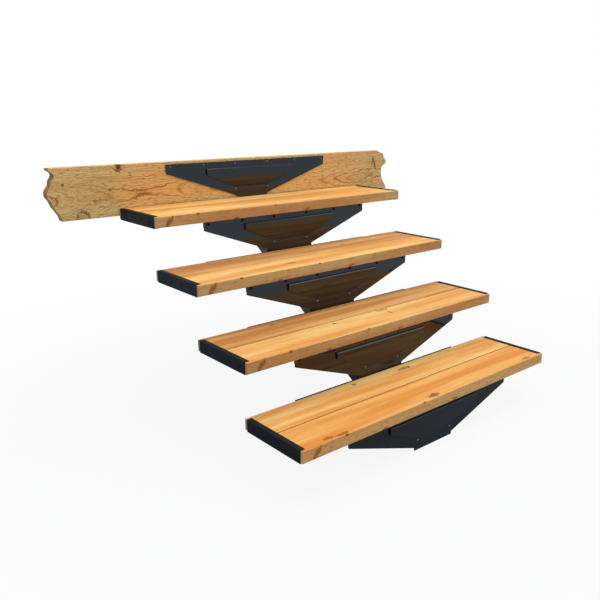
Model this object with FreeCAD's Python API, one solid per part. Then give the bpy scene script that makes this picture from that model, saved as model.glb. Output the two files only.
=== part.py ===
import FreeCAD, Part
import math
import os

from FreeCAD import Vector

# A modular centre stringer of bent steel carrying four timber steps below a deck's rim board.
# Frame: millimetres, +Z up, +X along the treads, +Y up the flight towards the deck.
# The origin is on the ground, in the middle of the lowest riser's foot.

# Flight
step_count = 4
rise = 188.5
run = 264.3

# Timber treads
tread_length = 1219.2
board_width = 140.0
board_thickness = 38.0
board_gap = 4.0
board_edge_radius = 3.0

# Riser plates, and the bent trays that they carry
sheet = 3.0
bend_radius = 2.5
flange_height = 24.0
riser_setback = 24.0
lowest_setback = 6.0
plate_width = 806.0
plate_end_height = 35.5
foot_width = 194.0
lowest_foot_height = 10.5
upper_foot_height = 4.0
plate_corner_radius = 6.0
foot_corner_radius = 2.5
butt_gap = 0.5

# Panel pressed forward in each riser plate, flush along its foot and proud along its top
panel_top_width = 446.0
panel_foot_width = 166.0
panel_drop = 26.0
panel_height = 82.0
panel_side_height = 24.0
panel_proud = 8.0
crease_width = 2.2
crease_depth = 2.0

# Folded channel behind each riser that stands on another step
channel_width = 230.0
channel_tip_inset = 10.0
channel_clearance = 0.5

# Bolts at each riser's foot
bolt_spacing = 166.0
bolt_height = 33.5
bolt_radius = 4.0
bolt_head_radius = 7.0
bolt_head_height = 4.0
bolt_tail = 4.0
nut_across_flats = 13.0
nut_height = 6.5

# Chamfered heads of the bolts and screws
head_brim = 1.5
head_slope = 3.0

# Row of screws along each riser's top
row_drop = 12.0
row_end_inset = 19.0
row_hole_radius = 4.5
rim_screw_head_radius = 6.0
rim_screw_head_height = 3.0
rim_screw_radius = 3.5
rim_screw_grip = 30.0

# Black channel caps on the tread ends
cap_sheet = 2.5
cap_flange = 18.0
cap_front_inset = 10.0
cap_back_inset = 14.0
cap_bend_radius = 1.0

# Rim board of the deck, cut away in a broken line at both ends
rim_height = 188.0
rim_thickness = 38.0
rim_deck_drop = 28.5
rim_foot_width = 173.0
rim_foot_height = 10.5
rim_foot_cut = 18.5
rim_left_reach = 846.0
rim_right_reach = 800.0
rim_left_wave = [
    (0, 3), (8, 2), (18, -10), (29, -13), (42, -4), (60, 1),
    (74, 11), (100, 15), (114, 6), (134, -2), (157, -17),
]
rim_right_wave = [
    (0, -38), (12, -14), (21, 2), (32, 5), (43, 14), (52, 21), (64, 17),
    (75, -1), (86, -11), (100, -12), (125, -9), (147, 0), (166, 14),
]
rim_left_foot = -30.0
rim_right_foot = 27.0

# Clearance of a shank in its hole, and how far a cutter runs past what it cuts
hole_clearance = 0.2
overrun = 5.0

# Levels and depths of one step, measured from the top of its tread's front edge
tread_depth = 2 * board_width + board_gap
pan_top = -board_thickness
pan_bottom = pan_top - sheet
riser_front = riser_setback
riser_back = riser_front + sheet
upstand_front = run + riser_front
foot_bottom = -rise
plate_end_bottom = pan_top - plate_end_height
row_level = pan_top - row_drop
bolt_level = foot_bottom + bolt_height
panel_top = pan_top - panel_drop
panel_foot = panel_top - panel_height
flange_bottom = pan_top - flange_height
flange_back = riser_back + sheet
half_plate = plate_width / 2
bolt_sides = (-bolt_spacing / 2, bolt_spacing / 2)
pitch_slope = rise / run


def prism_along_x(outline, start, end):
    """Solid with a (y, z) outline, from x = start to x = end."""
    points = [Vector(start, y, z) for y, z in outline]
    face = Part.Face(Part.makePolygon(points + points[:1]))
    return face.extrude(Vector(end - start, 0, 0))


def prism_along_y(outline, start, end):
    """Solid with an (x, z) outline, from y = start to y = end."""
    points = [Vector(x, start, z) for x, z in outline]
    face = Part.Face(Part.makePolygon(points + points[:1]))
    return face.extrude(Vector(0, end - start, 0))


def rod(radius, start, end):
    """Round bar between two points."""
    return Part.makeCylinder(radius, (end - start).Length, start, end - start)


def mirrored(outline):
    """Closed symmetrical outline from its right half, listed from the top down."""
    return outline + [(-x, z) for x, z in reversed(outline)]


def round_edges(solid, radius, corners, axis):
    """Round the straight edges along one axis that stand at the given corners."""
    def spot(point):
        return [value for name, value in zip("xyz", point) if name != axis]

    chosen = []
    for edge in solid.Edges:
        ends = [spot(vertex.Point) for vertex in edge.Vertexes]
        if len(ends) == 2 and math.dist(*ends) < 1e-6:
            if any(math.dist(ends[0], corner) < 1e-3 for corner in corners):
                chosen.append(edge)
    return solid.makeFillet(radius, chosen)


def hex_prism(across_flats, base, direction):
    """Hexagonal bar whose length is that of its direction."""
    corner = across_flats / math.sqrt(3)
    side = Vector(0, 0, corner) if abs(direction.z) < 1e-9 else Vector(corner, 0, 0)
    turn = [FreeCAD.Rotation(direction, 60.0 * k) for k in range(6)]
    points = [base + rotation.multVec(side) for rotation in turn]
    return Part.Face(Part.makePolygon(points + points[:1])).extrude(direction)


def round_headed(head_radius, head_height, radius, length, seat, outward):
    """Fastener turned in one piece: a chamfered head on its seat and a plain shank behind it."""
    outline = [
        (0.0, head_height),
        (head_radius - head_slope, head_height),
        (head_radius, head_brim),
        (head_radius, 0.0),
        (radius, 0.0),
        (radius, -length),
        (0.0, -length),
    ]
    points = [Vector(x, 0, z) for x, z in outline]
    face = Part.Face(Part.makePolygon(points + points[:1]))
    turned = face.revolve(Vector(0, 0, 0), Vector(0, 0, 1), 360)
    turned.Placement = FreeCAD.Placement(seat, FreeCAD.Rotation(Vector(0, 0, 1), outward))
    return turned


# Steel


def row_places():
    """Distances along the riser of its six screw holes."""
    inner = bolt_spacing / 2
    outer = half_plate - row_end_inset
    right = [inner, (inner + outer) / 2, outer]
    return [-x for x in reversed(right)] + right


def drills(radius, places, level):
    """Rods through a riser plate and the sheet behind it, one at each place along it."""
    front = riser_front - overrun
    back = flange_back + overrun
    return Part.Compound(
        [rod(radius, Vector(x, front, level), Vector(x, back, level)) for x in places]
    )


def drill_row(steel):
    """Holes for the screw row along a riser's top."""
    return steel.cut(drills(row_hole_radius, row_places(), row_level))


def drill_foot(steel):
    """Holes for the two bolts at a riser's foot."""
    return steel.cut(drills(bolt_radius + hole_clearance, bolt_sides, bolt_level))


def plate_blank(foot, height, cut):
    """Flat plate: an upside-down trapezoid on a narrow foot whose corners are cut back."""
    toe = foot / 2 - cut
    half = [
        (half_plate, pan_top),
        (half_plate, plate_end_bottom),
        (foot / 2, foot_bottom + height),
        (toe, foot_bottom),
    ]
    plate = prism_along_y(mirrored(half), riser_front, riser_back)
    ends = [(x, plate_end_bottom) for x in (-half_plate, half_plate)]
    feet = [(x, foot_bottom) for x in (-toe, toe)]
    plate = round_edges(plate, plate_corner_radius, ends, "y")
    return round_edges(plate, foot_corner_radius, feet, "y")


def panel_outline(inset, foot_inset=0.0):
    """Outline of the pressed panel, or one set in from its top and sides and, apart, from its foot."""
    slant_run = (panel_top_width - panel_foot_width) / 2
    slant_rise = panel_height - panel_side_height
    slant_inset = inset * math.hypot(slant_run, slant_rise) / slant_rise
    shoulder_inset = (slant_inset - inset) * slant_rise / slant_run
    half = [
        (panel_top_width / 2 - inset, panel_top - inset),
        (panel_top_width / 2 - inset, panel_foot + slant_rise + shoulder_inset),
        (panel_foot_width / 2 - slant_inset + foot_inset * slant_run / slant_rise, panel_foot + foot_inset),
    ]
    return mirrored(half)


def panel_wedge(face, inset):
    """Wedge that leans forward from one face of the plate, from the panel's foot to its top."""
    lean = [(face, panel_foot), (face, panel_top), (face - panel_proud, panel_top)]
    wedge = prism_along_x(lean, -half_plate, half_plate)
    return wedge.common(prism_along_y(panel_outline(inset), face - panel_proud, face))


def panel_crease():
    """Groove left in the plate's face all round the panel."""
    bottom = riser_front + crease_depth
    around = prism_along_y(panel_outline(-crease_width, -crease_width), riser_front, bottom)
    return around.cut(prism_along_y(panel_outline(0.0), riser_front, bottom))


def riser_plate(foot, height, cut=0.0):
    """Plate with its panel pressed forward, drilled along its top and at its foot."""
    creased = plate_blank(foot, height, cut).cut(panel_crease())
    raised = creased.fuse(panel_wedge(riser_front, 0.0))
    pressed = raised.cut(panel_wedge(riser_back, sheet)).removeSplitter()
    return drill_foot(drill_row(pressed))


def step_steel(setback, on_channel):
    """Tray of one bent sheet: flange down the riser's back, pan under the boards, upstand behind."""
    lip_front = upstand_front - setback
    lip_back = lip_front + sheet
    profile = [
        (riser_back, flange_bottom),
        (riser_back, pan_top),
        (lip_front, pan_top),
        (lip_front, -butt_gap),
        (lip_back, -butt_gap),
        (lip_back, pan_bottom),
        (flange_back, pan_bottom),
        (flange_back, flange_bottom),
    ]
    outside = [(riser_back, pan_top), (lip_back, pan_bottom)]
    inside = [(flange_back, pan_bottom), (lip_front, pan_top)]
    tray = prism_along_x(profile, -half_plate, half_plate)
    tray = round_edges(tray, bend_radius + sheet, outside, "x")
    tray = drill_row(round_edges(tray, bend_radius, inside, "x"))
    if on_channel:
        half_notch = channel_width / 2 + channel_clearance
        corner = Vector(-half_notch, riser_back - overrun, flange_bottom - overrun)
        depth = overrun + sheet + bend_radius
        height = flange_height + 2 * overrun
        tray = tray.cut(Part.makeBox(2 * half_notch, depth, height, corner))
    return tray


def spine_channel():
    """Folded channel: web behind the riser, sides that fill in under the pan along the pitch."""
    web_front = riser_back
    low = pan_bottom - rise
    tip = upstand_front - channel_tip_inset
    side = [
        (web_front, low),
        (web_front, pan_bottom),
        (tip, pan_bottom),
        (tip, low + pitch_slope * (tip - web_front)),
    ]
    half = channel_width / 2
    body = prism_along_x(side, -half, half)
    hollow = Part.makeBox(
        channel_width - 2 * sheet, tip, 2 * rise, Vector(sheet - half, flange_back, low - overrun)
    )
    channel = body.cut(hollow)
    outside = [(x, web_front) for x in (-half, half)]
    inside = [(x, flange_back) for x in (sheet - half, half - sheet)]
    channel = round_edges(channel, bend_radius + sheet, outside, "z")
    channel = round_edges(channel, bend_radius, inside, "z")
    return drill_foot(drill_row(channel))


# Fasteners


def foot_bolts(length):
    """Two round-headed bolts through the foot of a riser."""
    return [
        round_headed(bolt_head_radius, bolt_head_height, bolt_radius, length,
                     Vector(x, riser_front, bolt_level), Vector(0, -1, 0))
        for x in bolt_sides
    ]


def foot_nuts(grip):
    """Hex nuts on the foot bolts, behind the sheets they clamp."""
    pieces = []
    for x in bolt_sides:
        clamp = Vector(x, riser_front + grip, bolt_level)
        thickness = Vector(0, nut_height, 0)
        bore = rod(bolt_radius + hole_clearance, clamp, clamp + thickness)
        pieces.append(hex_prism(nut_across_flats, clamp, thickness).cut(bore))
    return pieces


def rim_screws():
    """Six screws along the rim plate's top, into the rim board."""
    return [
        round_headed(rim_screw_head_radius, rim_screw_head_height, rim_screw_radius,
                     sheet + rim_screw_grip, Vector(x, riser_front, row_level), Vector(0, -1, 0))
        for x in row_places()
    ]


# Timber and end caps


def tread_board(front):
    """One board of a tread, with eased long edges."""
    length = tread_length - 2 * cap_sheet
    back = front + board_width
    corner = Vector(-length / 2, front, -board_thickness)
    board = Part.makeBox(length, board_width, board_thickness, corner)
    corners = [(y, z) for y in (front, back) for z in (-board_thickness, 0.0)]
    return round_edges(board, board_edge_radius, corners, "x")


def end_cap(side):
    """Channel that slips over one end of a tread's two boards."""
    front = cap_front_inset
    depth = tread_depth - cap_back_inset - front
    height = board_thickness + 2 * cap_sheet
    bottom = -board_thickness - cap_sheet
    outer = tread_length / 2
    flange_end = outer - cap_flange
    cap = Part.makeBox(cap_flange, depth, height, Vector(flange_end, front, bottom))
    slot = Part.makeBox(cap_flange - cap_sheet, depth, board_thickness,
                        Vector(flange_end, front, -board_thickness))
    bends = [(outer, bottom), (outer, cap_sheet)]
    cap = round_edges(cap.cut(slot), cap_bend_radius, bends, "y")
    if side < 0:
        cap = cap.mirror(Vector(0, 0, 0), Vector(1, 0, 0))
    return cap


def broken_end(side, reach, wave, foot, top, depth):
    """Curve of a cut-away end, from its top corner to its bottom corner."""
    places = wave + [(rim_height, foot)]
    points = [Vector(side * (reach + out), depth, top - drop) for drop, out in places]
    curve = Part.BSplineCurve()
    curve.interpolate(points)
    return curve.toShape()


def rim_board():
    """Plank across the deck's edge, broken off in a wave at both ends."""
    top = -rim_deck_drop
    front = riser_back
    left = broken_end(-1, rim_left_reach, rim_left_wave, rim_left_foot, top, front)
    right = broken_end(1, rim_right_reach, rim_right_wave, rim_right_foot, top, front)
    upper = Part.makeLine(left.Vertexes[0].Point, right.Vertexes[0].Point)
    lower = Part.makeLine(right.Vertexes[-1].Point, left.Vertexes[-1].Point)
    outline = Part.Wire(Part.__sortEdges__([upper, right, lower, left]))
    plank = Part.Face(outline).extrude(Vector(0, rim_thickness, 0))
    end = riser_back + rim_screw_grip + hole_clearance
    bores = []
    for x in row_places():
        start = Vector(x, front - overrun, row_level)
        bores.append(rod(rim_screw_radius + hole_clearance, start, Vector(x, end, row_level)))
    for x in bolt_sides:
        start = Vector(x, front - overrun, bolt_level)
        bores.append(rod(bolt_radius + hole_clearance, start, Vector(x, end, bolt_level)))
    return plank.cut(Part.Compound(bores))


def place(shape, step, setback=0.0):
    """Copy a piece from a step's own frame to its place in the flight; step 1 is the lowest."""
    shift_y = (step - 1) * run + setback - lowest_setback - riser_front - sheet / 2
    placed = shape.copy()
    placed.translate(Vector(0, shift_y, step * rise))
    return placed


def save(name, shapes):
    """Write one named piece, or one group of like pieces."""
    shape = shapes[0] if len(shapes) == 1 else Part.Compound(shapes)
    shape.exportStep("parts/" + name + ".step")


def build():
    os.makedirs("parts", exist_ok=True)
    steps = range(1, step_count + 1)
    deck = step_count + 1
    channel = spine_channel()
    upper_riser = riser_plate(foot_width, upper_foot_height)
    lowest_riser = riser_plate(foot_width, lowest_foot_height)
    deck_riser = riser_plate(rim_foot_width, rim_foot_height, rim_foot_cut)
    boards = {"front": tread_board(0.0), "back": tread_board(board_width + board_gap)}
    caps = {"left": -1, "right": 1}
    bolted = []
    nuts = []
    for step in steps:
        setback = lowest_setback if step == 1 else 0.0
        riser = lowest_riser if step == 1 else upper_riser
        save("riser_plate_%d" % step, [place(riser, step, setback)])
        save("step_steel_%d" % step, [place(step_steel(setback, step > 1), step, setback)])
        for name, board in boards.items():
            save("tread_%s_board_%d" % (name, step), [place(board, step)])
        for name, side in caps.items():
            save("end_cap_%s_%d" % (name, step), [place(end_cap(side), step)])
        grip = sheet
        if step > 1:
            save("spine_channel_%d" % step, [place(channel, step)])
            grip = 2 * sheet
        bolts = foot_bolts(grip + nut_height + bolt_tail)
        bolted += [place(bolt, step, setback) for bolt in bolts]
        nuts += [place(nut, step, setback) for nut in foot_nuts(grip)]
    save("rim_plate", [place(deck_riser, deck)])
    save("rim_board", [place(rim_board(), deck)])
    save("rim_screws", [place(screw, deck) for screw in rim_screws()])
    save("rim_foot_bolts", [place(bolt, deck) for bolt in foot_bolts(sheet + rim_screw_grip)])
    save("foot_bolts", bolted)
    save("foot_nuts", nuts)


build()
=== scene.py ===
"""Looks of a bent-steel stair stringer that carries four timber treads below a deck's rim board."""

import math

import bmesh
import bpy
from mathutils import Matrix, Vector, noise


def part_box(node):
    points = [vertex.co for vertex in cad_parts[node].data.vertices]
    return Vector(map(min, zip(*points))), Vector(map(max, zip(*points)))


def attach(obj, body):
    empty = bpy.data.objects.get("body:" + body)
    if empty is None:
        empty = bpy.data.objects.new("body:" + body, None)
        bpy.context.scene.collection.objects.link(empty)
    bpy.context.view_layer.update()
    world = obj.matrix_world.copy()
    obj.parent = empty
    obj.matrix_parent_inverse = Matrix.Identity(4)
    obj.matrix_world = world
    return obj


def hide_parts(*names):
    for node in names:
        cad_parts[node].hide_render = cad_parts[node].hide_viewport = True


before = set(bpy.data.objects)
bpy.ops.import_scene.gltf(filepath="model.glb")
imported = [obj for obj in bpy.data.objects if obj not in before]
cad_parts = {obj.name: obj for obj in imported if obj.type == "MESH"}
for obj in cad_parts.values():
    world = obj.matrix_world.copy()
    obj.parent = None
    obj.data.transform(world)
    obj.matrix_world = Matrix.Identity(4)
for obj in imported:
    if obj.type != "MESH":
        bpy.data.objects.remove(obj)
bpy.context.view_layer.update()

# Flight, in metres as everything below
step_count = 4
steps = range(1, step_count + 1)
sheet = 0.003
panel_flat = 0.0033
riser_setback = 0.024
lowest_setback = 0.006

# Fasteners
bolt_sides = (-0.083, 0.083)
bolt_drop = 0.155
bolt_head = (0.007, 0.004)
bolt_socket = (0.005, 0.0022)
bolt_radius = 0.004
head_brim = 0.0015
head_slope = 0.003
head_rounding = 0.3
nut_flats = 0.013
nut_height = 0.0065
bolt_tail = 0.004
thread_pitch = 0.00125
thread_depth = 0.0007
rim_grip = 0.030
row_drop = 0.050
row_sides = (-0.384, -0.2335, -0.083, 0.083, 0.2335, 0.384)
rim_screw_head = (0.006, 0.003)
rim_screw_socket = (0.004, 0.0018)
rim_screw_radius = 0.0035
cap_screw_head = (0.004, 0.0018)
cap_screw_socket = (0.002, 0.0009)
cap_screw_rows = (0.041, 0.107, 0.173, 0.239)
cap_screw_drop = 0.019
board_screw_sides = (-0.36, -0.18, 0.18, 0.36)
board_screw_rows = (0.070, 0.214)
board_screw_drop = 0.041
board_screw_flats = 0.008
board_screw_height = 0.004

# Edges and joins of the meshes
weld = 2e-6
along_axis = 0.999
flat_angle = math.radians(0.4)
crease_angle = math.radians(28.0)
shade_angle = math.radians(40.0)
sheet_edge = 0.0004
cap_edge = 0.0003
hex_edge = 0.0005
board_edge = 0.0022
board_end_edge = 0.0006
rim_edge = 0.002
bolt_facets = 36
cap_screw_facets = 24

# Rim board: its shortest long edge, where its rough ends start on each side, and how they splinter
rim_long_edge = 1.0
rim_end_start = 0.7
through_share = 0.8
splinter_cuts = 9
splinter_depth = 0.003
splinter_margins = (0.003, 0.004)
splinter_grain = (160.0, 90.0)

# Camera
view_place = Vector((-1.6649, -1.3398, 1.1102))
view_yaw = math.radians(40.636)
view_pitch = math.radians(-16.506)
view_lens = 40.18
view_sensor = 36.0
view_shift = (-0.0340, 0.0126)

# Stage
floor_reach = 60.0
floor_middle = (0.0, 0.5, 0.0)
floor_colour = (0.58, 0.60, 0.63, 1.0)
floor_white = 0.91
# Painted shadow: the floor's colour as gloss sees it near the steps
painted_gloss_shadow = (0.22, 0.25, 0.28, 1.0)
far_gloss = (0.58, 0.65, 0.73, 1.0)
white = (1.0, 1.0, 1.0, 1.0)
shadow_fade = (1.0, 2.5)
# Reach over which that painted shadow fades to the far gloss colour
painted_gloss_shadow_fade = (0.6, 2.0)
sky_colour = (0.87, 0.93, 1.0, 1.0)
sky_strength = 0.30
lamp_target = Vector((0.0, 0.5, 0.5))
top_place = Vector((0.6, -0.8, 8.0))
top_size = (10.0, 8.0)
top_power = 670.0
front_place = Vector((5.4, -4.4, 4.2))
front_size = (4.5, 3.0)
front_power = 55.0


def srgb(red, green, blue):
    """Colour as a screen shows it, from 0 to 255, in the shaders' linear units."""
    def linear(value):
        """One channel in linear units."""
        share = value / 255.0
        return share / 12.92 if share <= 0.04045 else ((share + 0.055) / 1.055) ** 2.4

    return (linear(red), linear(green), linear(blue), 1.0)


# Node helpers


def add(tree, kind, values=None, **settings):
    """New node with its settings made and its inputs set or linked."""
    node = tree.nodes.new(kind)
    for name, setting in settings.items():
        setattr(node, name, setting)
    for key, value in (values or {}).items():
        if isinstance(value, bpy.types.NodeSocket):
            tree.links.new(value, node.inputs[key])
        else:
            node.inputs[key].default_value = value
    return node


def calc(tree, operation, *values):
    """Result of a Math node."""
    return add(tree, "ShaderNodeMath", dict(enumerate(values)), operation=operation).outputs[0]


def vector_calc(tree, operation, *values):
    """Result of a Vector Math node."""
    return add(tree, "ShaderNodeVectorMath", dict(enumerate(values)), operation=operation).outputs[0]


def combine(tree, x=0.0, y=0.0, z=0.0):
    """Vector from its three parts."""
    return add(tree, "ShaderNodeCombineXYZ", {0: x, 1: y, 2: z}).outputs[0]


def part_of(tree, vector, axis):
    """One part of a vector, 0 for x."""
    return add(tree, "ShaderNodeSeparateXYZ", {0: vector}).outputs[axis]


def scaled(tree, vector, factor):
    """Vector times a value."""
    return add(tree, "ShaderNodeVectorMath", {0: vector, "Scale": factor}, operation="SCALE").outputs[0]


def length_of(tree, vector):
    """Length of a vector."""
    return add(tree, "ShaderNodeVectorMath", {0: vector}, operation="LENGTH").outputs["Value"]


def remap(tree, value, low, high, start=0.0, end=1.0):
    """Value eased from start to end while the given one goes from low to high."""
    limits = {"Value": value, "From Min": low, "From Max": high, "To Min": start, "To Max": end}
    return add(tree, "ShaderNodeMapRange", limits, interpolation_type="SMOOTHSTEP").outputs[0]


def noise_of(tree, vector, scale, detail=2.0, roughness=0.5):
    """Noise value on a vector."""
    values = {"Vector": vector, "Scale": scale, "Detail": detail, "Roughness": roughness}
    return add(tree, "ShaderNodeTexNoise", values).outputs[0]


def stretched_noise(tree, vector, stretch, shift, detail=2.0, roughness=0.5):
    """Noise value on a vector that is stretched and then shifted."""
    place = vector_calc(tree, "MULTIPLY_ADD", vector, stretch, shift)
    return noise_of(tree, place, 1.0, detail, roughness)


def blend(tree, amount, first, second):
    """Colour between two others."""
    return add(tree, "ShaderNodeMix", {0: amount, 6: first, 7: second}, data_type="RGBA").outputs[2]


def new_group(name, inputs, outputs):
    """Empty shader group with its named sockets."""
    group = bpy.data.node_groups.new(name, "ShaderNodeTree")
    for label, kind in inputs.items():
        group.interface.new_socket(label, in_out="INPUT", socket_type="NodeSocket" + kind)
    for label, kind in outputs.items():
        group.interface.new_socket(label, in_out="OUTPUT", socket_type="NodeSocket" + kind)
    given = group.nodes.new("NodeGroupInput").outputs
    made = group.nodes.new("NodeGroupOutput").inputs
    return group, given, made


# Shader groups

# Stretch of each mark's noise along, across and up a board, per metre
curl_stretch = (34.0, 24.0, 24.0)
ripple_stretch = (3.0, 30.0, 30.0)
fibre_stretch = (7.0, 330.0, 330.0)
tone_stretch = (1.3, 20.0, 20.0)
fleck_stretch = (40.0, 230.0, 230.0)

# Year rings: their lean and ripple, how uneven their widths are, and where late wood lies in a year
lean_scale = 1.4
ripple_height = 0.005
uneven_scale = 0.35
uneven_years = 1.6
late_rise = (0.58, 0.86)
late_fall = (0.9, 1.0)
weakest_year = 0.3
fleck_rise = (0.54, 0.68)

# Knots: their frayed outline, and where heart, edge and halo start and stop in shares of their reach
fray_scale = 110.0
fray_range = (0.7, 1.35)
heart_fade = (0.45, 1.0)
edge_rise = (0.7, 0.95)
edge_fall = (1.0, 1.25)
edge_strength = 0.8
halo_fade = (0.8, 1.8)

# Sprayed coat: scales of its orange peel, its drift of tone and its dust
peel_scale = 750.0
drift_scale = 14.0
dust_scale = 260.0


def ring_grain_group():
    """Year rings round a pith that runs along x, with the fibres and the broad tone of a board."""
    inputs = {"Vector": "Vector", "Pith": "Vector", "Spacing": "Float", "Wander": "Float",
              "Curl": "Float", "Push": "Float", "Seed": "Float"}
    outputs = {"Late": "Float", "Fibre": "Float", "Tone": "Float", "Fleck": "Float"}
    group, given, made = new_group("ring_grain", inputs, outputs)
    here = given["Vector"]
    seed = given["Seed"]
    shift = combine(group, seed, seed, seed)
    along = combine(group, part_of(group, here, 0), seed)
    values = {"Vector": along, "Scale": lean_scale, "Detail": 1.0}
    lean = add(group, "ShaderNodeTexNoise", values).outputs[1]
    lean = scaled(group, vector_calc(group, "SUBTRACT", lean, (0.5, 0.5, 0.5)), given["Wander"])
    curl = calc(group, "SUBTRACT", stretched_noise(group, here, curl_stretch, shift), 0.5)
    sway = combine(group, z=calc(group, "MULTIPLY", curl, given["Curl"]))
    across = vector_calc(group, "ADD", vector_calc(group, "SUBTRACT", here, given["Pith"]), lean)
    across = vector_calc(group, "MULTIPLY", vector_calc(group, "ADD", across, sway), (0.0, 1.0, 1.0))
    ripple = calc(group, "SUBTRACT", stretched_noise(group, here, ripple_stretch, shift), 0.5)
    radius = calc(group, "MULTIPLY_ADD", ripple, ripple_height, length_of(group, across))
    radius = calc(group, "ADD", radius, given["Push"])
    phase = calc(group, "DIVIDE", radius, given["Spacing"])
    values = {"W": phase, "Scale": uneven_scale, "Detail": 1.0}
    uneven = add(group, "ShaderNodeTexNoise", values, noise_dimensions="1D").outputs[0]
    phase = calc(group, "MULTIPLY_ADD", uneven, uneven_years, phase)
    turn = calc(group, "FRACT", phase)
    late = remap(group, turn, *late_fall, 1.0, 0.0)
    late = calc(group, "MULTIPLY", remap(group, turn, *late_rise), late)
    year = calc(group, "ADD", calc(group, "FLOOR", phase), seed)
    strength = add(group, "ShaderNodeTexWhiteNoise", {"W": year}, noise_dimensions="1D").outputs[0]
    strength = remap(group, strength, 0.0, 1.0, weakest_year, 1.0)
    group.links.new(calc(group, "MULTIPLY", late, strength), made["Late"])
    group.links.new(stretched_noise(group, here, fibre_stretch, shift, 3.0, 0.6), made["Fibre"])
    group.links.new(stretched_noise(group, here, tone_stretch, shift, 3.0, 0.55), made["Tone"])
    fleck = stretched_noise(group, vector_calc(group, "ADD", here, sway), fleck_stretch, shift, 1.0)
    group.links.new(remap(group, fleck, *fleck_rise), made["Fleck"])
    return group


def knot_group():
    """One knot: its dark heart and edge, the halo round it and how far it pushes the rings aside."""
    inputs = {"Vector": "Vector", "Centre": "Vector", "Reach": "Vector", "Lean": "Float", "Depth": "Float"}
    group, given, made = new_group("knot", inputs, {"Heart": "Float", "Halo": "Float", "Near": "Float"})
    away = vector_calc(group, "SUBTRACT", given["Vector"], given["Centre"])
    slide = combine(group, calc(group, "MULTIPLY", part_of(group, away, 2), given["Lean"]))
    away = vector_calc(group, "SUBTRACT", away, slide)
    away = vector_calc(group, "DIVIDE", away, given["Reach"])
    frayed = noise_of(group, given["Vector"], fray_scale, 3.0)
    frayed = remap(group, frayed, 0.25, 0.75, *fray_range)
    distance = calc(group, "MULTIPLY", length_of(group, away), frayed)
    heart = calc(group, "MULTIPLY", remap(group, distance, *heart_fade, 1.0, 0.0), given["Depth"])
    edge = remap(group, distance, *edge_fall, 1.0, 0.0)
    edge = calc(group, "MULTIPLY", remap(group, distance, *edge_rise), edge)
    group.links.new(calc(group, "MULTIPLY_ADD", edge, edge_strength, heart), made["Heart"])
    halo = remap(group, distance, *halo_fade, 1.0, 0.0)
    stain = remap(group, given["Depth"], 0.1, 0.6, 0.15, 1.0)
    group.links.new(calc(group, "MULTIPLY", halo, stain), made["Halo"])
    square = calc(group, "MULTIPLY_ADD", distance, distance, 1.0)
    group.links.new(calc(group, "DIVIDE", 1.0, square), made["Near"])
    return group


def coat_group():
    """Sprayed coat: its orange-peel height, its slow drift of tone and its faint dust."""
    outputs = {"Peel": "Float", "Drift": "Float", "Dust": "Float"}
    group, given, made = new_group("sprayed_coat", {"Vector": "Vector"}, outputs)
    here = given["Vector"]
    group.links.new(noise_of(group, here, peel_scale), made["Peel"])
    group.links.new(remap(group, noise_of(group, here, drift_scale, 3.0), 0.3, 0.7), made["Drift"])
    group.links.new(remap(group, noise_of(group, here, dust_scale, 4.0, 0.7), 0.55, 0.8), made["Dust"])
    return group


ring_grain = ring_grain_group()
knot = knot_group()
sprayed_coat = coat_group()


# Materials

# Timber: a knot's push on the rings and its halo, how ends dull and narrow faces take painted shading, and
# the sheen and relief
knot_push = 1.1
halo_strength = 0.45
face_turn = (0.55, 0.9)
end_strength = 0.75
timber_roughness = (0.62, 0.46)
timber_sheen = 0.25
late_height = 0.6
timber_relief = (0.25, 0.0004)

# Sprayed coat: its dust, how much that tints and dulls it, and the height of its peel
dust_colour = srgb(120, 120, 118)
dust_tint = 0.12
dust_dulling = 0.10
peel_height = 0.0002

# Plating: its clouds, and the scale and relief of its grit
cloud_scale = 420.0
cloud_rise = (0.3, 0.7)
grit_scale = 1600.0
grit_relief = (0.1, 0.0001)


def new_material(name):
    """Material with its surface shader and the coordinates of the whole object."""
    material = bpy.data.materials.new(name)
    material.use_nodes = True
    tree = material.node_tree
    tree.nodes.clear()
    skin = add(tree, "ShaderNodeBsdfPrincipled")
    add(tree, "ShaderNodeOutputMaterial", {"Surface": skin.outputs[0]})
    here = add(tree, "ShaderNodeTexCoord").outputs["Object"]
    return material, tree, skin, here


def bump(tree, skin, height, strength, distance):
    """Relief of the surface from a height."""
    relief = add(tree, "ShaderNodeBump", {"Height": height, "Strength": strength, "Distance": distance})
    tree.links.new(relief.outputs[0], skin.inputs["Normal"])


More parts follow.
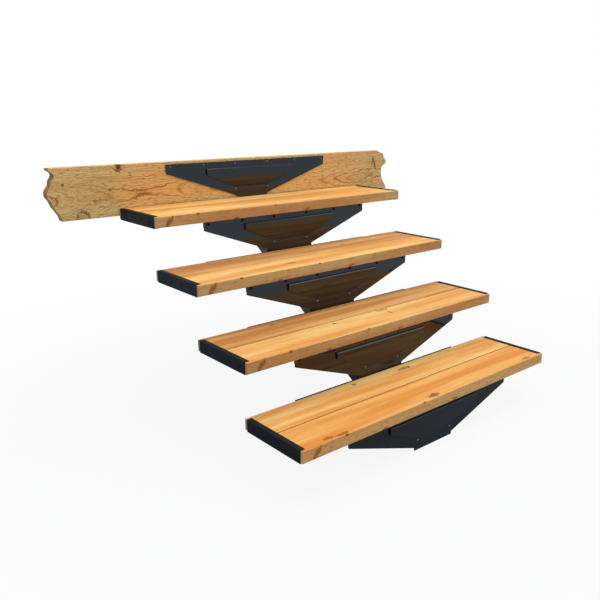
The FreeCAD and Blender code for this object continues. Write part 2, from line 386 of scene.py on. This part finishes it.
def timber(name, origin, palette, knots, pith, seed, figure):
    """Softwood of one board, solid through and through, measured from the board's own corner, with painted
    shading on its narrow faces.
    """
    material, tree, skin, here = new_material(name)
    local = add(tree, "ShaderNodeMapping", {"Vector": here, "Location": -origin}).outputs[0]
    heart = 0.0
    halo = 0.0
    push = 0.0
    for centre, reach, lean, depth in knots:
        made = add(tree, "ShaderNodeGroup", node_tree=knot)
        tree.links.new(local, made.inputs["Vector"])
        made.inputs["Centre"].default_value = centre
        made.inputs["Reach"].default_value = reach
        made.inputs["Lean"].default_value = lean
        made.inputs["Depth"].default_value = depth
        heart = calc(tree, "MAXIMUM", heart, made.outputs["Heart"])
        halo = calc(tree, "MAXIMUM", halo, made.outputs["Halo"])
        push = calc(tree, "MULTIPLY_ADD", made.outputs["Near"], knot_push * reach[0], push)
    made = add(tree, "ShaderNodeGroup", node_tree=ring_grain)
    tree.links.new(local, made.inputs["Vector"])
    tree.links.new(push, made.inputs["Push"])
    made.inputs["Pith"].default_value = pith
    made.inputs["Seed"].default_value = seed
    made.inputs["Spacing"].default_value = figure["spacing"]
    made.inputs["Wander"].default_value = figure["wander"]
    made.inputs["Curl"].default_value = figure["curl"]
    grain = made.outputs
    wood = blend(tree, remap(tree, grain["Tone"], 0.35, 0.65), palette["early"], palette["deep"])
    wood = blend(tree, calc(tree, "MULTIPLY", grain["Late"], figure["rings"]), wood, palette["late"])
    fibres = remap(tree, grain["Fibre"], 0.35, 0.75, 0.0, figure["fibres"])
    wood = blend(tree, fibres, wood, palette["late"])
    wood = blend(tree, calc(tree, "MULTIPLY", grain["Fleck"], figure["flecks"]), wood, palette["fleck"])
    normal = add(tree, "ShaderNodeNewGeometry").outputs["Normal"]
    facing = calc(tree, "ABSOLUTE", part_of(tree, normal, 1))
    # Painted shading: the boards' front and back faces are blended toward the end tone and flecked,
    # standing in for how light falls on them
    painted_shading_mask = remap(tree, facing, *face_turn, 0.0, figure["painted_face_shading"])
    wood = blend(tree, painted_shading_mask, wood, palette["end"])
    wood = blend(tree, calc(tree, "MULTIPLY", grain["Fleck"], painted_shading_mask), wood, palette["fleck"])
    wood = blend(tree, calc(tree, "MULTIPLY", halo, halo_strength), wood, palette["halo"])
    wood = blend(tree, heart, wood, palette["heart"])
    facing = calc(tree, "ABSOLUTE", part_of(tree, normal, 0))
    end_face = remap(tree, facing, *face_turn, 0.0, end_strength)
    wood = blend(tree, end_face, wood, palette["end"])
    tree.links.new(wood, skin.inputs["Base Color"])
    tree.links.new(remap(tree, grain["Late"], 0.0, 1.0, *timber_roughness), skin.inputs["Roughness"])
    skin.inputs["Specular IOR Level"].default_value = timber_sheen
    relief = calc(tree, "MULTIPLY_ADD", grain["Late"], late_height, grain["Fibre"])
    bump(tree, skin, relief, *timber_relief)
    return material


def black_coat(name, dark, light, smooth, rough, peel, gleam):
    """Dark sprayed coat on steel sheet."""
    material, tree, skin, here = new_material(name)
    coat = add(tree, "ShaderNodeGroup", {"Vector": here}, node_tree=sprayed_coat).outputs
    tone = blend(tree, coat["Drift"], dark, light)
    tone = blend(tree, calc(tree, "MULTIPLY", coat["Dust"], dust_tint), tone, dust_colour)
    tree.links.new(tone, skin.inputs["Base Color"])
    sheen = remap(tree, coat["Drift"], 0.0, 1.0, smooth, rough)
    tree.links.new(calc(tree, "MULTIPLY_ADD", coat["Dust"], dust_dulling, sheen), skin.inputs["Roughness"])
    skin.inputs["Specular IOR Level"].default_value = gleam
    bump(tree, skin, coat["Peel"], peel, peel_height)
    return material


def dull_plating(name, dark, light, smooth, rough):
    """Clouded plating on steel fasteners."""
    material, tree, skin, here = new_material(name)
    cloud = noise_of(tree, here, cloud_scale, 3.0)
    tree.links.new(blend(tree, remap(tree, cloud, *cloud_rise), dark, light), skin.inputs["Base Color"])
    skin.inputs["Metallic"].default_value = 1.0
    tree.links.new(remap(tree, cloud, *cloud_rise, smooth, rough), skin.inputs["Roughness"])
    bump(tree, skin, noise_of(tree, here, grit_scale), *grit_relief)
    return material


black_steel = black_coat("black_steel", srgb(8, 15, 22), srgb(12, 21, 30),
                         smooth=0.06, rough=0.11, peel=0.05, gleam=0.62)
cap_steel = black_coat("cap_steel", srgb(20, 24, 29), srgb(28, 32, 37),
                       smooth=0.50, rough=0.62, peel=0.12, gleam=0.12)
zinc_plate = dull_plating("zinc_plate", srgb(74, 77, 82), srgb(102, 105, 110), smooth=0.36, rough=0.50)


# Mesh helpers


def finish_piece(bm, name, material, slot, *nodes):
    """Object made of a mesh, riding on the one body and standing for its solids."""
    mesh = bpy.data.meshes.new(name)
    bm.to_mesh(mesh)
    bm.free()
    mesh.materials.append(material)
    mesh.shade_smooth()
    mesh.set_sharp_from_angle(angle=shade_angle)
    piece = bpy.data.objects.new(name, mesh)
    bpy.context.scene.collection.objects.link(piece)
    even = piece.modifiers.new("even_normals", "WEIGHTED_NORMAL")
    even.keep_sharp = True
    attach(piece, "root")
    if nodes:
        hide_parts(*nodes)
    return piece


def merged_copy(node):
    """Closed copy of a solid's mesh with its flat faces made whole."""
    bm = bmesh.new()
    bm.from_mesh(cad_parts[node].data)
    bmesh.ops.remove_doubles(bm, verts=bm.verts, dist=weld)
    bmesh.ops.dissolve_limit(bm, angle_limit=flat_angle, verts=bm.verts, edges=bm.edges)
    return bm


def sharp_edges(bm):
    """Edges where two faces meet at a crease."""
    return [edge for edge in bm.edges if edge.is_manifold and edge.calc_face_angle() > crease_angle]


def break_edges(bm, edges, width, segments):
    """Round a set of edges."""
    bmesh.ops.bevel(bm, geom=edges, offset=width, offset_type="OFFSET", segments=segments, profile=0.5,
                    affect="EDGES", material=-1, clamp_overlap=False)


def softened(node, width, segments=2):
    """Copy of a sheet piece with its cut edges broken as a sprayed coat leaves them."""
    bm = merged_copy(node)
    break_edges(bm, sharp_edges(bm), width, segments)
    return bm


def block(low, high):
    """Box between two corners."""
    bm = bmesh.new()
    bmesh.ops.create_cube(bm, size=1.0)
    size = Matrix.Diagonal(high - low).to_4x4()
    bmesh.ops.transform(bm, matrix=Matrix.Translation((low + high) / 2) @ size, verts=bm.verts)
    return bm


def edges_along(bm, axis):
    """Edges that run along one axis, 0 for x."""
    return [edge for edge in bm.edges
            if abs((edge.verts[0].co - edge.verts[1].co).normalized()[axis]) > along_axis]


def turned(outline, segments):
    """Closed round shape from an outline of (radius, height) points that starts and ends on the axis."""
    bm = bmesh.new()
    points = [bm.verts.new((radius, 0.0, height)) for radius, height in outline]
    lines = [bm.edges.new(pair) for pair in zip(points, points[1:])]
    bmesh.ops.spin(bm, geom=points + lines, cent=(0, 0, 0), axis=(0, 0, 1), dvec=(0, 0, 0),
                   angle=2 * math.pi, steps=segments, use_merge=True, use_duplicate=False)
    bmesh.ops.remove_doubles(bm, verts=bm.verts, dist=weld)
    bmesh.ops.recalc_face_normals(bm, faces=bm.faces)
    return bm


def repeated(shape, places, bm=None):
    """The same shape at each of several places, in a new mesh or in one that holds others."""
    pattern = bpy.data.meshes.new("pattern")
    shape.to_mesh(pattern)
    shape.free()
    if bm is None:
        bm = bmesh.new()
    for place in places:
        first = len(bm.verts)
        bm.from_mesh(pattern)
        bm.verts.ensure_lookup_table()
        bmesh.ops.transform(bm, matrix=place, verts=bm.verts[first:])
    bpy.data.meshes.remove(pattern)
    return bm


def standing(point, outward):
    """Place that turns a shape's +z to a direction, at a point."""
    turn = Vector(outward).to_track_quat("Z", "Y").to_matrix().to_4x4()
    return Matrix.Translation(point) @ turn


def head_outline(head, slope, brim, socket):
    """Outline of a chamfered head, from the bottom of its socket to the underside of its brim."""
    radius, height = head
    flats, depth = socket
    return [(0.0, height - depth), (flats / 2, height - depth), (flats / 2, height),
            (radius - slope, height), (radius, brim), (radius, 0.0)]


def shape_head(bm, head, slope, brim, socket):
    """Gives a turned head its six-sided socket and rounds its outer edges."""
    flats = socket[0]
    for vert in bm.verts:
        reach = math.hypot(vert.co.x, vert.co.y)
        if vert.co.z > 0.0 and abs(reach - flats / 2) < weld:
            turn = math.atan2(vert.co.y, vert.co.x) % (math.pi / 3)
            stretch = 1.0 / math.cos(turn - math.pi / 6)
            vert.co.x *= stretch
            vert.co.y *= stretch
    rings = (head[0] - slope, head[1]), (head[0], brim)
    edges = []
    for edge in bm.edges:
        spots = [(math.hypot(vert.co.x, vert.co.y), vert.co.z) for vert in edge.verts]
        if any(all(math.dist(spot, ring) < weld for spot in spots) for ring in rings):
            edges.append(edge)
    break_edges(bm, edges, head_rounding * slope, 3)


def thread_outline(radius, start, end, pitch, depth):
    """Outline of a thread down a shank, from one depth below the head to another."""
    turns = int((end - start) / pitch)
    points = [(radius, -start)]
    for k in range(turns):
        points.append((radius - depth, -start - (k + 0.5) * pitch))
        points.append((radius, -start - (k + 1.0) * pitch))
    return points


def tread_corner(step):
    """Left front corner of a step's front board, at the level of its top."""
    low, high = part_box("tread_front_board_%d" % step)
    return Vector((low.x, low.y, high.z))


def riser_face(step):
    """Depth of a riser's front face; the step above the last one is the rim plate."""
    if step > step_count:
        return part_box("rim_board")[0].y - sheet
    return tread_corner(step).y + riser_setback + (lowest_setback if step == 1 else 0.0)


def step_top(step):
    """Level of a step's tread; the step above the last one is the deck."""
    rise = tread_corner(2).z - tread_corner(1).z
    return tread_corner(1).z + (step - 1) * rise


# Steel


def pressed_plate(node):
    """Copy of a riser plate with a steep flat along the top of its panel and its edges broken."""
    bm = merged_copy(node)
    front = min(vert.co.y for vert in bm.verts)
    bend = [edge for edge in edges_along(bm, 0) if all(vert.co.y < front + weld for vert in edge.verts)]
    top = bend[0].verts[0].co.z
    break_edges(bm, bend, panel_flat, 1)
    for vert in bm.verts:
        if abs(vert.co.z - top) < weld and vert.co.y < front + panel_flat + weld:
            vert.co.y -= panel_flat / 3
    break_edges(bm, sharp_edges(bm), sheet_edge, 2)
    return bm


def steel_piece(bm, name, node):
    """Black steel piece that stands for one solid."""
    finish_piece(bm, name, black_steel, "black_steel", node)


def make_steel():
    """Riser plates, the trays and channels behind them and the rim plate."""
    for step in steps:
        node = "riser_plate_%d" % step
        steel_piece(pressed_plate(node), "pressed_riser_%d" % step, node)
        node = "step_steel_%d" % step
        steel_piece(softened(node, sheet_edge), "bent_tray_%d" % step, node)
        if step > 1:
            node = "spine_channel_%d" % step
            steel_piece(softened(node, sheet_edge), "folded_channel_%d" % step, node)
    steel_piece(pressed_plate("rim_plate"), "deck_plate", "rim_plate")


def make_caps():
    """Black channels on the tread ends."""
    for step in steps:
        for side in ("left", "right"):
            node = "end_cap_%s_%d" % (side, step)
            name = "%s_cap_%d" % (side, step)
            finish_piece(softened(node, cap_edge), name, cap_steel, "cap_steel", node)


# Timber

# Each palette's end tone colours the end grain and is also the painted shading of the boards' narrow faces
pale = {"early": srgb(255, 214, 134), "deep": srgb(238, 162, 78), "late": srgb(218, 142, 66),
        "fleck": srgb(186, 116, 54), "halo": srgb(196, 112, 54), "heart": srgb(122, 62, 28),
        "end": srgb(158, 136, 104)}
orange = {"early": srgb(255, 192, 108), "deep": srgb(234, 150, 64), "late": srgb(210, 128, 54),
          "fleck": srgb(172, 100, 46), "halo": srgb(190, 102, 46), "heart": srgb(122, 60, 26),
          "end": srgb(220, 178, 122)}
honey = {"early": srgb(252, 202, 122), "deep": srgb(222, 152, 76), "late": srgb(200, 130, 62),
         "fleck": srgb(172, 106, 50), "halo": srgb(188, 108, 52), "heart": srgb(112, 58, 28),
         "end": srgb(178, 134, 86)}
tan = {"early": srgb(236, 180, 106), "deep": srgb(200, 134, 68), "late": srgb(178, 112, 52),
       "fleck": srgb(150, 92, 44), "halo": srgb(176, 100, 48), "heart": srgb(104, 54, 26),
       "end": srgb(170, 126, 80)}
rim_tan = {"early": srgb(255, 218, 144), "deep": srgb(250, 200, 124), "late": srgb(164, 102, 46),
           "fleck": srgb(168, 112, 56), "halo": srgb(196, 132, 72), "heart": srgb(110, 62, 30),
           "end": srgb(150, 122, 90)}
front_palettes = {1: orange, 2: pale, 3: pale, 4: pale}
back_palettes = {1: pale, 2: tan, 3: tan, 4: honey}

# Pith of each kind of board, across and up from its lower front edge
front_pith = (0.0, 0.085, -0.045)
back_pith = (0.0, 0.050, 0.100)
rim_pith = (0.0, 0.085, 0.080)

# Seed of each board's figure: for each step, more for a back board, and the rim's own
step_seed = 3.1
back_seed = 17.0
rim_seed = 41.0

# Figure of the timber: its rings' spacing, wander and curl, the strength of each kind of mark, and of the
# painted shading on narrow faces
tread_figure = {"spacing": 0.0038, "wander": 0.035, "curl": 0.003, "rings": 0.36, "fibres": 0.32,
                "flecks": 0.12, "painted_face_shading": 0.45}
rim_figure = {"spacing": 0.0050, "wander": 0.12, "curl": 0.020, "rings": 0.9, "fibres": 0.42,
              "flecks": 0.65, "painted_face_shading": 0.0}

# Knots: centre and reach along, across and up the board, lean along x for each rise, and depth of colour
front_face_knots = [
    ((0.054, 0.0, 0.018), (0.010, 0.014, 0.014), 0.65, 0.55),
    ((0.170, 0.0, 0.036), (0.007, 0.005, 0.003), 0.0, 0.85),
    ((0.333, 0.0, 0.003), (0.010, 0.006, 0.004), 0.0, 0.7),
    ((0.516, 0.0, 0.037), (0.005, 0.004, 0.003), 0.0, 0.8),
    ((0.674, 0.0, 0.006), (0.012, 0.006, 0.004), 0.3, 0.6),
]
front_top_knots = {
    1: [
        ((0.584, 0.018, 0.038), (0.022, 0.010, 0.006), 0.0, 0.75),
        ((0.111, 0.019, 0.038), (0.016, 0.006, 0.006), 0.0, 0.5),
        ((0.159, 0.011, 0.038), (0.020, 0.005, 0.006), 0.0, 0.6),
        ((1.124, 0.015, 0.038), (0.018, 0.005, 0.006), 0.0, 0.6),
    ],
    2: [
        ((0.459, 0.121, 0.038), (0.008, 0.004, 0.006), 0.0, 0.6),
        ((0.710, 0.128, 0.038), (0.022, 0.005, 0.006), 0.0, 0.55),
        ((0.714, 0.090, 0.038), (0.004, 0.012, 0.006), 0.0, 0.4),
    ],
    3: [((0.434, 0.068, 0.038), (0.020, 0.005, 0.006), 0.0, 0.45)],
    4: [((0.109, 0.134, 0.038), (0.012, 0.005, 0.006), 0.0, 0.5)],
}
back_top_knots = {
    1: [
        ((0.442, 0.115, 0.038), (0.008, 0.006, 0.006), 0.0, 0.6),
        ((0.689, 0.106, 0.038), (0.026, 0.008, 0.006), 0.0, 0.55),
    ],
    2: [((0.282, 0.108, 0.038), (0.010, 0.005, 0.006), 0.0, 0.5)],
    3: [((0.815, 0.060, 0.038), (0.010, 0.005, 0.006), 0.0, 0.4)],
    4: [((0.630, 0.085, 0.038), (0.009, 0.004, 0.006), 0.0, 0.4)],
}
rim_knots = [
    ((0.269, 0.0, 0.180), (0.011, 0.030, 0.018), 0.2, 0.95),
    ((0.120, 0.0, 0.006), (0.023, 0.030, 0.025), 0.0, 0.12),
    ((0.057, 0.0, 0.129), (0.005, 0.012, 0.004), 0.0, 0.8),
    ((0.230, 0.0, 0.099), (0.005, 0.012, 0.004), 0.0, 0.8),
    ((0.170, 0.0, 0.063), (0.006, 0.012, 0.004), 0.0, 0.5),
    ((1.601, 0.0, 0.130), (0.005, 0.030, 0.026), -0.35, 0.8),
    ((1.589, 0.0, 0.138), (0.004, 0.030, 0.018), 0.3, 0.6),
]


def board_shape(node):
    """Plank with eased long edges and crisp ends."""
    bm = block(*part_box(node))
    break_edges(bm, edges_along(bm, 0), board_edge, 4)
    ends = [edge for edge in sharp_edges(bm) if abs(edge.verts[0].co.x - edge.verts[1].co.x) < weld]
    break_edges(bm, ends, board_end_edge, 2)
    return bm


def make_treads():
    """Two boards on each step."""
    for step in steps:
        node = "tread_front_board_%d" % step
        knots = front_face_knots + front_top_knots[step]
        finish = timber("front_timber_%d" % step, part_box(node)[0], front_palettes[step],
                        knots, front_pith, step_seed * step, tread_figure)
        finish_piece(board_shape(node), "front_board_%d" % step, finish, "front_timber", node)
        node = "tread_back_board_%d" % step
        finish = timber("back_timber_%d" % step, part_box(node)[0], back_palettes[step],
                        back_top_knots[step], back_pith, step_seed * step + back_seed, tread_figure)
        finish_piece(board_shape(node), "back_board_%d" % step, finish, "back_timber", node)


def rim_shape():
    """Rim plank with eased long edges and rough broken ends."""
    bm = merged_copy("rim_board")
    low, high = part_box("rim_board")
    long_edges = [edge for edge in edges_along(bm, 0) if edge.calc_length() > rim_long_edge]
    break_edges(bm, long_edges, rim_edge, 3)
    shortest = through_share * (high.y - low.y)
    through = [edge for edge in edges_along(bm, 1)
               if edge.calc_length() > shortest and abs(edge.verts[0].co.x) > rim_end_start]
    bmesh.ops.subdivide_edges(bm, edges=through, cuts=splinter_cuts, use_grid_fill=True)
    across, up = splinter_grain
    side, brim = splinter_margins
    for vert in bm.verts:
        x, y, z = vert.co
        inside = low.y + side < y < high.y - side and low.z + brim < z < high.z - brim
        if inside and abs(x) > rim_end_start:
            splinter = noise.noise(Vector((y * across, z * up, x)))
            vert.co.x -= math.copysign(splinter_depth * (1.0 + splinter), x)
    return bm


def make_rim():
    """Rim board of the deck."""
    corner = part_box("rim_board")[0]
    finish = timber("rim_timber", corner, rim_tan, rim_knots, rim_pith, rim_seed, rim_figure)
    finish_piece(rim_shape(), "deck_rim", finish, "rim_timber", "rim_board")


# Fasteners


def bolt_shape(head, socket, radius, length, plain):
    """Socket-headed bolt or screw with its thread, standing on z = 0 under its head."""
    outline = head_outline(head, head_slope, head_brim, socket)
    outline += thread_outline(radius, plain, length - thread_depth, thread_pitch, thread_depth)
    outline += [(radius - thread_depth, -length), (0.0, -length)]
    bm = turned(outline, bolt_facets)
    shape_head(bm, head, head_slope, head_brim, socket)
    return bm


def hexagon(flats, height):
    """Hex block standing on z = 0 with its edges broken."""
    bm = bmesh.new()
    corner = flats / math.sqrt(3)
    bmesh.ops.create_cone(bm, cap_ends=True, segments=6, radius1=corner, radius2=corner, depth=height)
    bmesh.ops.translate(bm, verts=bm.verts, vec=(0, 0, height / 2))
    break_edges(bm, sharp_edges(bm), hex_edge, 2)
    return bm


def on_riser(step, sides, drop, behind=0.0):
    """Places on a riser's face, looking forward, or behind it by so much, looking back."""
    outward = (0, 1, 0) if behind else (0, -1, 0)
    level = step_top(step) - drop
    return [standing(Vector((x, riser_face(step) + behind, level)), outward) for x in sides]


def make_foot_bolts():
    """Bolts and nuts at the feet of the risers."""
    length = 2 * sheet + nut_height + bolt_tail
    bm = repeated(bolt_shape(bolt_head, bolt_socket, bolt_radius, length - sheet, sheet),
                  on_riser(1, bolt_sides, bolt_drop))
    upper = [place for step in steps[1:] for place in on_riser(step, bolt_sides, bolt_drop)]
    repeated(bolt_shape(bolt_head, bolt_socket, bolt_radius, length, 2 * sheet), upper, bm)
    finish_piece(bm, "foot_bolt_set", zinc_plate, "zinc_fastener", "foot_bolts")
    finish_piece(softened("foot_nuts", hex_edge), "foot_nut_set", zinc_plate, "zinc_fastener", "foot_nuts")


def make_row_bolts():
    """Bolts along the top of each riser, with their nuts behind the tray's flange, in the black cap coat
    as painted shade.
    """
    grip = 2 * sheet
    fronts = [place for step in steps for place in on_riser(step, row_sides, row_drop)]
    backs = [place for step in steps for place in on_riser(step, row_sides, row_drop, grip)]
    length = grip + nut_height + bolt_tail
    shape = bolt_shape(rim_screw_head, rim_screw_socket, bolt_radius, length, grip)
    # Painted shade: the row bolts on the risers take the black cap coat where the same row on the rim
    # plate is zinc
    finish_piece(repeated(shape, fronts), "row_bolt_set", cap_steel, "cap_steel")
    finish_piece(repeated(hexagon(nut_flats, nut_height), backs), "row_nut_set", cap_steel, "cap_steel")


def make_rim_screws():
    """Screws through the rim plate into the rim board."""
    deck = step_count + 1
    length = sheet + rim_grip
    shape = bolt_shape(rim_screw_head, rim_screw_socket, rim_screw_radius, length, sheet)
    row = on_riser(deck, row_sides, row_drop)
    finish_piece(repeated(shape, row), "rim_screw_set", zinc_plate, "zinc_fastener", "rim_screws")
    shape = bolt_shape(bolt_head, bolt_socket, bolt_radius, length, sheet)
    feet = on_riser(deck, bolt_sides, bolt_drop)
    finish_piece(repeated(shape, feet), "rim_bolt_set", zinc_plate, "zinc_fastener", "rim_foot_bolts")


def make_cap_screws():
    """Small black screws through the caps into the boards' ends."""
    places = []
    for step in steps:
        corner = tread_corner(step)
        for side, node in ((-1, "end_cap_left_%d"), (1, "end_cap_right_%d")):
            low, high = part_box(node % step)
            x = low.x if side < 0 else high.x
            for row in cap_screw_rows:
                spot = Vector((x, corner.y + row, corner.z - cap_screw_drop))
                places.append(standing(spot, (side, 0, 0)))
    slope = cap_screw_head[0] / 3
    brim = cap_screw_head[1] / 3
    outline = head_outline(cap_screw_head, slope, brim, cap_screw_socket) + [(0.0, 0.0)]
    shape = turned(outline, cap_screw_facets)
    shape_head(shape, cap_screw_head, slope, brim, cap_screw_socket)
    finish_piece(repeated(shape, places), "cap_screw_set", cap_steel, "cap_steel")


def make_board_screws():
    """Hex-headed screws up through the pans into the boards."""
    places = []
    for step in steps:
        corner = tread_corner(step)
        for x in board_screw_sides:
            for row in board_screw_rows:
                spot = Vector((x, corner.y + row, corner.z - board_screw_drop))
                places.append(standing(spot, (0, 0, -1)))
    shape = hexagon(board_screw_flats, board_screw_height)
    finish_piece(repeated(shape, places), "board_screw_set", zinc_plate, "zinc_fastener")


# Stage


def seen_white(tree, eye, gloss):
    """Share and colour of the surround: white for the camera and glass, a dimmer shade for a gloss."""
    path = add(tree, "ShaderNodeLightPath").outputs
    direct = calc(tree, "MAXIMUM", path["Is Camera Ray"], path["Is Transmission Ray"])
    share = calc(tree, "MAXIMUM", calc(tree, "MULTIPLY", direct, eye), path["Is Glossy Ray"])
    return share, blend(tree, path["Is Glossy Ray"], white, gloss)


def floor_paint():
    """Pale floor that keeps a shadow near the steps, fades to white and is clear from below; near the
    steps its gloss colour is darkened as a painted shadow.
    """
    paint = bpy.data.materials.new("pale_floor")
    paint.use_nodes = True
    tree = paint.node_tree
    tree.nodes.clear()
    here = add(tree, "ShaderNodeTexCoord").outputs["Object"]
    away = length_of(tree, vector_calc(tree, "SUBTRACT", here, floor_middle))
    eye = remap(tree, away, *shadow_fade, floor_white, 1.0)
    # Painted shadow: the floor's colour for gloss rays is dark near the steps and pales farther off
    gloss = blend(tree, remap(tree, away, *painted_gloss_shadow_fade), painted_gloss_shadow, far_gloss)
    share, shade = seen_white(tree, eye, gloss)
    matt = add(tree, "ShaderNodeBsdfDiffuse", {"Color": floor_colour})
    glow = add(tree, "ShaderNodeEmission", {"Color": shade, "Strength": 1.0})
    mixed = add(tree, "ShaderNodeMixShader", {0: share, 1: matt.outputs[0], 2: glow.outputs[0]})
    below = add(tree, "ShaderNodeNewGeometry").outputs["Backfacing"]
    clear = add(tree, "ShaderNodeBsdfTransparent")
    sided = add(tree, "ShaderNodeMixShader", {0: below, 1: mixed.outputs[0], 2: clear.outputs[0]})
    add(tree, "ShaderNodeOutputMaterial", {"Surface": sided.outputs[0]})
    return paint


def make_floor():
    """Level floor under the lowest riser."""
    mesh = bpy.data.meshes.new("floor")
    bm = bmesh.new()
    bmesh.ops.create_grid(bm, x_segments=1, y_segments=1, size=floor_reach)
    bm.to_mesh(mesh)
    bm.free()
    mesh.materials.append(floor_paint())
    floor = bpy.data.objects.new("floor", mesh)
    bpy.context.scene.collection.objects.link(floor)


def make_surround():
    """White surround that gives the steps only a low even light."""
    world = bpy.data.worlds.new("white_surround")
    world.use_nodes = True
    tree = world.node_tree
    tree.nodes.clear()
    sky = add(tree, "ShaderNodeBackground", {"Color": sky_colour, "Strength": sky_strength})
    share, shade = seen_white(tree, 1.0, far_gloss)
    glow = add(tree, "ShaderNodeBackground", {"Color": shade, "Strength": 1.0})
    mixed = add(tree, "ShaderNodeMixShader", {0: share, 1: sky.outputs[0], 2: glow.outputs[0]})
    add(tree, "ShaderNodeOutputWorld", {"Surface": mixed.outputs[0]})
    bpy.context.scene.world = world


def soft_lamp(name, place, size, power):
    """Broad soft lamp turned to the flight."""
    lamp = bpy.data.lights.new(name, "AREA")
    lamp.shape = "RECTANGLE"
    lamp.size, lamp.size_y = size
    lamp.energy = power
    holder = bpy.data.objects.new(name, lamp)
    holder.location = place
    holder.rotation_euler = (lamp_target - place).to_track_quat("-Z", "Y").to_euler()
    bpy.context.scene.collection.objects.link(holder)
    return holder


def make_lamps():
    """Lamp above the flight, and one in front of it that shows only as a gleam on bent steel."""
    soft_lamp("soft_top", top_place, top_size, top_power)
    gleam = soft_lamp("soft_front", front_place, front_size, front_power)
    gleam.visible_camera = False
    gleam.visible_diffuse = False


def make_camera():
    """Camera at the photograph's place."""
    lens = bpy.data.cameras.new("photo_view")
    lens.sensor_width = view_sensor
    lens.lens = view_lens
    lens.shift_x, lens.shift_y = view_shift
    camera = bpy.data.objects.new("photo_view", lens)
    camera.location = view_place
    camera.rotation_euler = (math.pi / 2 + view_pitch, 0.0, -view_yaw)
    bpy.context.scene.collection.objects.link(camera)
    bpy.context.scene.camera = camera


make_steel()
make_caps()
make_treads()
make_rim()
make_foot_bolts()
make_row_bolts()
make_rim_screws()
make_cap_screws()
make_board_screws()
make_floor()
make_surround()
make_lamps()
make_camera()
bpy.context.scene.view_settings.view_transform = "Standard"
